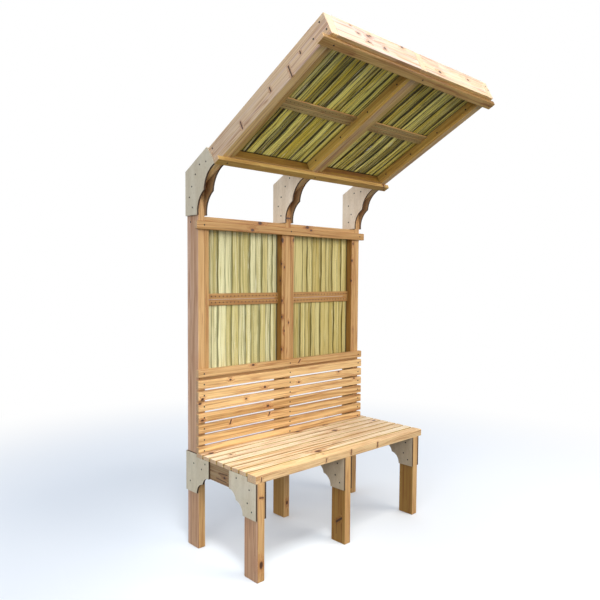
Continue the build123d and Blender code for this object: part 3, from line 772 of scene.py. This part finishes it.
def riven(name, along, woods, right_bay, seed, contrast, shade_behind, above=None):
    """Split wood: tone by lath and by the two sides of one wandering split in it, long streaks and
    thin lines along the grain, edges darkened partly as bark and partly as painted shade, and painted
    deep shade at the bay's two ends by the stiles and at the laths' own ends. Woods are a light and a
    deep tone, bark, a painted shade for between laths and a painted glint, and above the same five for
    faces that look up, where the laths are nearer the tone of dry ones; the woods below are then painted
    with a warm bounce light, and the front panels' undersides take a little painted shade. Right bay
    tints that bay, contrast strengthens the streaks and lines, and deepen is the painted shade of the
    laths that lie back and of their laps."""
    material, shader, wire = new_finish(name)
    # Faces that look down keep the colours painted with warm bounce light and shade, and those that look up
    # take the plainer ones.
    if above:
        over = wire.normal().dot(OUT).rise(0.1, 0.5)
        woods = [wire.blend(over, below, top) for below, top in zip(woods, above)]
    light, deep, bark, shade_and_bark, glint = woods
    run, x = (wire.spot().dot(axis) for axis in (along, X))
    tone, share, end, back = (wire.stored(name) for name in ("tone", "share", "end", "back"))
    offset = tone * 50.0 + seed
    sway = (wire.noise(run * 5.0, x * 6.0, offset) - 0.5) * 0.016
    broad = wire.noise((x + sway) * 110.0, run * 2.0, offset, 3.0, 0.6)
    streak = wire.noise((x + sway) * 300.0, run * 3.0, offset, 4.0, 0.65)
    fine = wire.noise((x + sway) * 1300.0, run * 12.0, offset, 3.0, 0.6)
    cloud = wire.noise(run * 9.0, x * 20.0, offset, 3.0)
    place, half, dark = wire.chance(tone * 977.0 + seed)
    split = share - 0.28 - place * 0.44 + (wire.noise(run * 4.0, offset, 0.0) - 0.5) * 0.22
    beyond = split.rise(-0.02, 0.02)
    crack = abs(split).rise(0.055, 0.015)
    lines = abs(wire.noise((x + sway) * 90.0, run * 1.6, offset + 7.0, 1.0) - 0.5).rise(0.030, 0.006)
    glints = abs(wire.noise((x + sway) * 120.0, run * 1.4, offset + 3.0, 1.0) - 0.56).rise(0.022, 0.004)
    edge = (abs(share - 0.5) + (cloud - 0.5) * 0.08).rise(0.41, 0.47)
    mix = (tone - 0.5) * 0.9 + (half - 0.5) * beyond * 1.3 + (cloud - 0.5) * 0.8 + 0.37
    mix = mix + (broad - 0.5) * 1.6 * contrast + (streak - 0.5) * 1.4 * contrast
    colour = wire.blend(mix.rise(0.0, 1.0), light, deep)
    colour = wire.blend(streak.rise(0.56, 0.70) * 0.5 * contrast, colour, bark)
    colour = wire.blend(fine.rise(0.55, 0.8) * 0.35, colour, bark)
    # Painted shade on the laths that lie back, then in their laps.
    colour = wire.blend(back * (dark * 1.4 - 0.2).most(0.05).least(1.0) * shade_behind, colour, bark)
    lap_shade = back * (abs(share - 0.5) + (cloud - 0.5) * 0.10).rise(0.20, 0.27)
    colour = wire.blend(lap_shade * min(shade_behind + 0.45, 0.85), colour, shade_and_bark)
    # Painted glints: light through the laths and on their edges.
    colour = wire.blend(glints * 0.75, colour, glint)
    colour = wire.blend((lines * 0.55 * contrast).least(1.0), colour, bark)
    colour = wire.blend(crack * (dark * 0.6 + 0.35) * contrast, colour, bark)
    # Edges darkened, partly bark and partly painted shade.
    colour = wire.blend(edge * (dark * 0.3 + 0.65), colour, shade_and_bark)
    # Painted deep shade beside the stiles and at the laths' own ends.
    bay, far = ((x / RIB_PITCH) + 1.0).part() * RIB_PITCH, RIB_PITCH - STILE_SIDE
    near_end_shade = bay.rise(far - 0.011, far - 0.005).most(bay.rise(STILE_SIDE + 0.006, STILE_SIDE + 0.001))
    near_end_shade = near_end_shade.most(end.rise(0.010, 0.003))
    colour = wire.blend(near_end_shade * 0.8, colour, STILE_SHADE)
    colour = wire.blend(x.rise(-0.005, 0.005), colour, wire.times(colour, (*right_bay, 1.0)))
    # Painted shade on the undersides of the canopy's front panels.
    if above:
        before_seam = run.rise(SEAM + 0.001, SEAM - 0.001) * (1.0 - over)
        colour = wire.blend(before_seam, colour, wire.times(colour, FRONT_PANEL_SHADE))
    lay_on(shader, wire, colour, 0.62 + fine * 0.2, streak + fine * 0.6, RIDGE_DEPTH, RIDGE_STRENGTH)
    return material


# In each list the fourth colour is painted shade and the fifth a painted glint.
DRY = [srgb(*c) for c in ((234, 226, 174), (204, 186, 114), (138, 124, 58), (108, 100, 44), (242, 236, 198))]
# The canopy laths' under-faces: colours made yellower and darker as a painted warm bounce light and shade.
UNDERSIDE_BOUNCE_LIGHT = [srgb(*c) for c in ((255, 242, 130), (224, 198, 64), (46, 30, 5), (20, 12, 2), (255, 246, 204))]
OPEN = [srgb(*c) for c in ((216, 204, 158), (178, 162, 108), (118, 102, 60), (80, 68, 38), (230, 222, 190))]
back_riven = riven("riven_back", Z, DRY, (0.88, 0.80, 0.60), 1.0, 0.8, 0.15)
canopy_riven = riven("riven_canopy", DOWN, UNDERSIDE_BOUNCE_LIGHT, (0.93, 0.91, 0.88), 2.0, 1.4, 0.60, OPEN)
for node, piece in lath_panels.items():
    piece.data.materials.append(canopy_riven if node.startswith("canopy") else back_riven)
print("laths finished")

# %% [markdown]
# ## Screws and pins
# The maker drove the screws by eye, a few to a plate, and tacked each row of laths down with pins.
# A head is a low dome turned on a lathe: a short profile carried round in a few steps. All heads of one
# kind are one piece, made in one sum from a list of places and the ways they face.

# %% Heads
PROFILE = np.array([(1.0, -0.12), (0.96, 0.13), (0.62, 0.25), (0.20, 0.28)])
RUB_SWELLS = 900.0
dark_steel, steel_shader, wire = new_finish("dark_steel")
rub = wire.noise(*(wire.spot().dot(axis) * RUB_SWELLS for axis in (X, Y, Z)))
rubbed = wire.blend(rub, srgb(24, 18, 15), srgb(48, 38, 32))
wire.tree.links.new(rubbed.socket, steel_shader.inputs["Base Color"])
steel_shader.inputs["Metallic"].default_value = 0.3
steel_shader.inputs["Roughness"].default_value = 0.5


def heads(name, places, facing, radius, steps):
    """Closed domed heads, sunk a little into the wood. A point of a head is its place, plus the radius
    times the profile's reach turned round the facing, plus the radius times its height along the facing."""
    places, facing = np.array(places, float), np.array(facing, float)
    helper = np.where(np.abs(facing[:, :1]) > 0.9, Z[None], X[None])
    first = np.cross(helper, facing)
    first = first / np.linalg.norm(first, axis=1, keepdims=True)
    second = np.cross(facing, first)
    turn = np.linspace(0, 2 * np.pi, steps, endpoint=False)
    spoke = first[:, None] * np.cos(turn)[None, :, None] + second[:, None] * np.sin(turn)[None, :, None]
    points = places[:, None, None] + radius * (PROFILE[None, :, None, :1] * spoke[:, None]
                                               + PROFILE[None, :, None, 1:] * facing[:, None, None])
    rows = len(PROFILE)
    quads, caps = (np.array(faces)[None] for faces in ring_faces(rows, steps))
    first_points = (np.arange(len(places)) * rows * steps)[:, None, None]
    faces = (quads + first_points).reshape(-1, 4).tolist() + (caps + first_points).reshape(-1, steps).tolist()
    mesh = bpy.data.meshes.new(name)
    mesh.from_pydata(points.reshape(-1, 3), [], faces)
    mesh.shade_smooth()
    mesh.materials.append(dark_steel)
    piece = put(name, mesh)
    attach(piece, "root")


print("heads of", len(PROFILE), "rings")

# %% [markdown]
# ## Where the screws are
# Plates carry theirs in a loose row that follows the timbers beneath. Slats have one at every rib,
# battens one at every rib, and stiles four along their inner sides.

# %% Screws
CANOPY_PLATE_SCREWS = {
    "left": [(-72, 1780), (-123, 1787), (-39, 1740), (-9, 1688), (11, 1641), (-14, 1593)],
    "middle": [(-83, 1781), (-50, 1742), (-19, 1690), (3, 1644), (-18, 1594)],
    "right": [(-94, 1766), (-45, 1761), (-3, 1691), (-24, 1642), (-3, 1597)],
}
REAR_PLATE_SCREWS = [(-20, 405), (-112, 420), (-84, 390), (10, 315)]
FRONT_PLATE_SCREWS = [(-347, 417), (-436, 388), (-423, 329), (-452, 298)]
RAFTER_SCREWS = mm([(30, 75), (14, 27), (80, 44), (773, 73)])
RAFTER_END_SCREWS = mm([(533, 66), (543, 47)])
STILE_SCREWS = mm([(117, 15), (298, 15), (479, 15), (661, 15)])
POST_SCREW = 0.015, 1.529
BATTEN_SCREW = 0.004, 1.513
CANOPY_BATTEN_SCREW, SLAT_SCREW_DROP = 0.012, 0.020
OFF_RIB = 0.02
SCREW_RADIUS, SCREW_STEPS = 0.0041, 10
places, facing = [], []


def drive(place, way):
    """Puts one screw at a place in metres."""
    places.append(place)
    facing.append(way)


for number, rib in enumerate(RIBS):
    centre = (number - 1) * RIB_PITCH
    for kind, screws in zip(PLATE_KINDS, (CANOPY_PLATE_SCREWS[rib], REAR_PLATE_SCREWS, FRONT_PLATE_SCREWS)):
        for side, way in ((reach(rib + kind, X).min(), -1), (reach(rib + kind, X).max(), 1)):
            if abs(side - centre) > OFF_RIB and (side - centre) * way > 0:
                for y, z in mm(screws):
                    drive((side, y, z), X * way)
    for top in np.unique(reach("back_slats", Z).round(4))[1::2].tolist() + [reach("backrest_rail", Z).max()]:
        drive((centre, reach("back_slats", Y).min(), top - SLAT_SCREW_DROP), -Y)
    drive((centre + BATTEN_SCREW[0], reach("back_batten", Y).min(), BATTEN_SCREW[1]), -Y)
    for node in ("canopy_front_batten", "canopy_rear_batten"):
        middle = (reach(node, DOWN).min() + reach(node, DOWN).max()) / 2 - EAVES @ DOWN
        drive(on_canopy(centre + CANOPY_BATTEN_SCREW, middle, reach(node, OUT).min() - EAVES @ OUT), -OUT)
for way, post in ((-1, "left"), (1, "right")):
    outer = way * np.abs(reach(post + "_post", X)).max()
    drive((outer, *POST_SCREW), X * way)
    for along, out in RAFTER_SCREWS:
        drive(on_canopy(outer, along, out), X * way)
    for bay in (-1, 0):
        inner = bay * RIB_PITCH + (STILE_SIDE if way > 0 else RIB_PITCH - STILE_SIDE)
        for along, out in STILE_SCREWS:
            drive(on_canopy(inner, along, out), X * way)
for x, out in RAFTER_END_SCREWS:
    drive(on_canopy(x, 0.0, out), -DOWN)
heads("screws", places, facing, SCREW_RADIUS, SCREW_STEPS)
print(len(places), "screws")

# %% [markdown]
# ## Where the pins are
# The strips over each seam are tacked with two rows of pins, one to a strip, evenly spaced between the
# stiles. The same rows serve the back, where they look forward, and the canopy, where they look down.

# %% Pins
PINS_IN_ROW, OFF_STILE, OFF_SEAM = 20, 0.012, 0.0145
PIN_RADIUS, PIN_STEPS = {"back": 0.0032, "canopy": 0.0021}, 6
BACK_SEAM = (reach("back_lath_strips", Z).min() + reach("back_lath_strips", Z).max()) / 2
before, under = reach("back_lath_strips", Y).min(), reach("canopy_lath_strips", OUT).min()
pin_places, pin_facing = {"back": [], "canopy": []}, {"back": [], "canopy": []}
for bay in (-1, 0):
    first, last = bay * RIB_PITCH + STILE_SIDE + OFF_STILE, (bay + 1) * RIB_PITCH - STILE_SIDE - OFF_STILE
    row = np.linspace(first, last, PINS_IN_ROW)
    for step in (-OFF_SEAM, OFF_SEAM):
        pin_places["back"] += [(x, before, BACK_SEAM + step) for x in row]
        pin_facing["back"] += [-Y] * PINS_IN_ROW
        pin_places["canopy"] += [X * x + DOWN * (SEAM + step) + OUT * under for x in row]
        pin_facing["canopy"] += [-OUT] * PINS_IN_ROW
for screen, radius in PIN_RADIUS.items():
    heads(screen + "_pins", pin_places[screen], pin_facing[screen], radius, PIN_STEPS)
    print(len(pin_places[screen]), "pins in the", screen)

# %% [markdown]
# ## Floor and light
# The shelter stands on a pale floor. A warm lamp lights it from the front and a cool window from the
# left, a narrow strip overhead brightens the canopy's front edge, a small skylight the bench, and a faint
# sky fills the shade. The ground far off goes to plain white, and the sky is plain white where the
# camera sees it, straight or in a reflection.

# %% Stage
FLOOR_REACH, FADE_FROM, FADE_TO = 30.0, 1.3, 3.4
FLOOR_BOUNCE, FLOOR_SEEN = srgb(120, 125, 128), srgb(236, 236, 236)
SKY_LOW, SKY_HIGH, WHITE = (0.15, 0.16, 0.18, 1), (0.80, 0.88, 1.0, 1), (1, 1, 1, 1)
CORNERS = (-1, -1), (1, -1), (1, 1), (-1, 1)
floor_mesh = bpy.data.meshes.new("floor")
floor_mesh.from_pydata([(x * FLOOR_REACH, y * FLOOR_REACH, 0.0) for x, y in CORNERS], [], [(0, 1, 2, 3)])
floor = put("floor", floor_mesh)
floor_material, floor_shader, wire = new_finish("pale_floor")
far_off = wire.make("ShaderNodeVectorMath", {"operation": "LENGTH"}, {0: wire.spot()}, "Value")
seen = wire.make("ShaderNodeLightPath", None, None, "Is Camera Ray")
floor_colour = wire.blend(seen, FLOOR_BOUNCE, FLOOR_SEEN)
wire.tree.links.new(floor_colour.socket, floor_shader.inputs["Base Color"])
floor_shader.inputs["Roughness"].default_value = 0.9
white = wire.make("ShaderNodeEmission", None, {"Color": WHITE, "Strength": 1.0})
plain = Wire(wire.tree, floor_shader.outputs[0])
fade = far_off.rise(FADE_FROM, FADE_TO) * seen
mixed = wire.make("ShaderNodeMixShader", None, {0: fade, 1: plain, 2: white})
wire.tree.links.new(mixed.socket, wire.tree.nodes["Material Output"].inputs["Surface"])
floor_mesh.materials.append(floor_material)

world = bpy.data.worlds.new("sky")
bpy.context.scene.world = world
world.use_nodes = True
wire = Wire(world.node_tree)
paths = wire.make("ShaderNodeLightPath").socket.node
seen = Wire(wire.tree, paths.outputs["Is Camera Ray"])
for name in ("Is Glossy Ray", "Is Transmission Ray"):
    seen = seen.most(Wire(wire.tree, paths.outputs[name]))
upward = wire.make("ShaderNodeTexCoord", None, None, "Generated").dot(Z)
sky = wire.blend(seen, wire.blend(upward.rise(-0.3, 0.7), SKY_LOW, SKY_HIGH), WHITE)
wire.tree.links.new(sky.socket, world.node_tree.nodes["Background"].inputs["Color"])


def lamp(name, place, target, wide, high, watts, colour, beam=180.0):
    """A soft oblong lamp that looks at a target, with the whole angle of its beam in degrees."""
    data = bpy.data.lights.new(name, "AREA")
    data.shape = "RECTANGLE"
    data.size, data.size_y, data.energy, data.color = wide, high, watts, colour
    data.spread = math.radians(beam)
    back = np.subtract(place, target)
    back = back / np.linalg.norm(back)
    side = np.cross(Z, back)
    side = side / np.linalg.norm(side)
    put(name, data).matrix_world = standing(side, np.cross(back, side), back, place)


MIDDLE, EDGE, BENCH = (0.0, -0.3, 1.1), (0.0, -0.75, 1.9), (-0.4, -0.32, 0.45)
lamp("front", (1.6, -3.8, 2.6), MIDDLE, 2.6, 2.0, 88.0, (1.0, 0.93, 0.82))
lamp("overhead", (0.0, -1.30, 3.35), EDGE, 1.6, 0.25, 16.5, (1.0, 0.96, 0.88))
lamp("window", (-5.2, -3.6, 2.3), MIDDLE, 4.2, 3.2, 194.0, (0.80, 0.89, 1.0))
lamp("skylight", (-1.3, -1.7, 3.4), BENCH, 0.7, 0.7, 1.8, (0.90, 0.97, 1.0), 26.0)
print("stage set")
